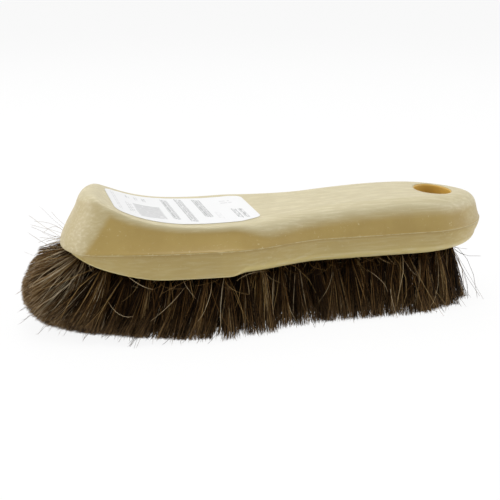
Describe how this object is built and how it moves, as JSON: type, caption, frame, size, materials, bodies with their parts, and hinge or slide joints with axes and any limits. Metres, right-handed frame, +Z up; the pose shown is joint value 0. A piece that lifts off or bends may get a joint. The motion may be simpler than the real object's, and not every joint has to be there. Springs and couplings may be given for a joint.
{
  "type": "upholstery brush",
  "caption": "Upholstery brush with a contoured tan plastic block, broad head, hang hole in the handle, dense dark horsehair that fans out at the front, and a paper label in the saddle.",
  "frame": {"origin": "on the ground under the middle of the bounding box, which stands on the trimmed tips of the hair", "axes": "+X runs along the brush from the broad head to the handle's end, +Y across it, +Z up from the hair to the block's upper face"},
  "size_m": [0.2514, 0.0708, 0.0712],
  "materials": {
    "foam_plastic": "satin moulded structural foam, tan, with faint lengthwise streaks",
    "horsehair": "dark brown natural horsehair, slightly glossy, tan at the tips",
    "label_paper": "smooth white printed paper sticker"
  },
  "bodies": {
    "root": {"handle_block": "foam_plastic", "paper_label": "label_paper", "bristle_row_01": "horsehair", "bristle_row_02": "horsehair", "bristle_row_03": "horsehair", "bristle_row_04": "horsehair", "bristle_row_05": "horsehair", "bristle_row_06": "horsehair", "bristle_row_07": "horsehair", "bristle_row_08": "horsehair", "bristle_row_09": "horsehair", "bristle_row_10": "horsehair", "bristle_row_11": "horsehair", "bristle_row_12": "horsehair", "bristle_row_13": "horsehair", "bristle_row_14": "horsehair", "bristle_row_15": "horsehair", "bristle_row_16": "horsehair", "bristle_row_17": "horsehair", "bristle_row_18": "horsehair", "tail_bristles_right": "horsehair", "tail_bristles_left": "horsehair"}
  },
  "joints": []
}
